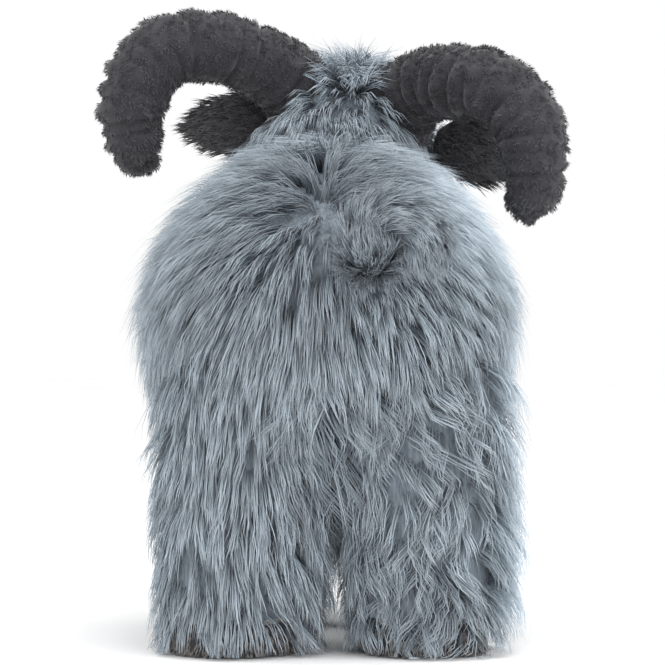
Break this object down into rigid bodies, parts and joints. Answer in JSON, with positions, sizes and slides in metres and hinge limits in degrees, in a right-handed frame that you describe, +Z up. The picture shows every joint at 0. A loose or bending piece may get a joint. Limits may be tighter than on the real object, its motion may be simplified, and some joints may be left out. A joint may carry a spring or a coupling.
{
  "type": "sheepskin ram figure",
  "caption": "Free-standing stuffed ram in long-wool sheepskin, with thick curved shearling horns, loose ears, a curled tail and a head that turns on its neck.",
  "frame": {"origin": "on the floor, under the middle of the figure's box, head at its rest turn", "axes": "+Z up, nose towards -Y, tail towards +Y, the ram's left side towards +X"},
  "size_m": [0.4204, 0.6326, 0.545],
  "materials": {
    "long_wool": "long blue-grey wool in clumped locks on sheepskin",
    "pale_long_wool": "paler, smoother long wool on sheepskin",
    "tail_wool": "darker medium-length wool on sheepskin",
    "sheared_pile": "charcoal sheared sheepskin with a short dense pile",
    "ear_lining": "short charcoal pile",
    "hoof_pile": "short brown-grey pile",
    "stuffing": "packed fibre stuffing",
    "steel_rod": "plain drawn steel",
    "foot_board": "thin plywood",
    "nose_leather": "matt padded leather",
    "thread": "waxed thread",
    "eye": "glossy",
    "washer": "matt"
  },
  "bodies": {
    "body": {"spine_and_neck_rod": "steel_rod", "hind_leg_hoop": "steel_rod", "front_leg_hoop": "steel_rod", "torso_stuffing": "stuffing", "neck_stuffing": "stuffing", "left_hind_leg_stuffing": "stuffing", "right_hind_leg_stuffing": "stuffing", "left_front_leg_stuffing": "stuffing", "right_front_leg_stuffing": "stuffing", "left_flank_panel": "long_wool", "belly_panel": "long_wool", "rump_panel": "long_wool", "chest_panel": "long_wool", "left_mane_panel": "long_wool", "right_mane_panel": "long_wool", "left_hind_leg_sleeve": "long_wool", "right_hind_leg_sleeve": "long_wool", "left_front_leg_sleeve": "long_wool", "right_front_leg_sleeve": "long_wool", "right_flank_panel": "pale_long_wool", "left_hind_foot_board": "foot_board", "right_hind_foot_board": "foot_board", "left_front_foot_board": "foot_board", "right_front_foot_board": "foot_board", "left_hind_hoof_cap": "hoof_pile", "right_hind_hoof_cap": "hoof_pile", "left_front_hoof_cap": "hoof_pile", "right_front_hoof_cap": "hoof_pile"},
    "head": {"head_stuffing": "stuffing", "left_cheek_panel": "long_wool", "right_cheek_panel": "long_wool", "poll_tuft": "long_wool", "muzzle_skin": "sheared_pile", "nose_patch": "nose_leather", "mouth_stitch": "thread", "left_eye": "eye", "right_eye": "eye", "eye_washers": "washer", "left_horn_skin": "sheared_pile", "right_horn_skin": "sheared_pile", "left_horn_stuffing": "stuffing", "right_horn_stuffing": "stuffing", "left_horn_wire": "steel_rod", "right_horn_wire": "steel_rod"},
    "left_ear": {"left_ear_back": "sheared_pile", "left_ear_lining": "ear_lining"},
    "right_ear": {"right_ear_back": "sheared_pile", "right_ear_lining": "ear_lining"},
    "tail": {"tail_skin": "tail_wool", "tail_stuffing": "stuffing"}
  },
  "joints": [
    {"name": "head_turn", "type": "hinge", "parent": "body", "child": "head", "pos_m": [0.00095, -0.12713, 0.355], "axis": [0, -0.7071, 0.7071], "range_deg": [-20, 20]},
    {"name": "left_ear_flap", "type": "hinge", "parent": "head", "child": "left_ear", "pos_m": [0.04758, -0.21025, 0.44584], "axis": [0.0255, -0.0059, 0.9997], "range_deg": [-30, 30]},
    {"name": "right_ear_flap", "type": "hinge", "parent": "head", "child": "right_ear", "pos_m": [-0.0957, -0.17717, 0.42909], "axis": [-0.244, 0.0563, 0.9681], "range_deg": [-30, 30]},
    {"name": "tail_lift", "type": "hinge", "parent": "body", "child": "tail", "pos_m": [-0.03105, 0.24387, 0.316], "axis": [1, 0, 0], "range_deg": [-10, 10]}
  ]
}
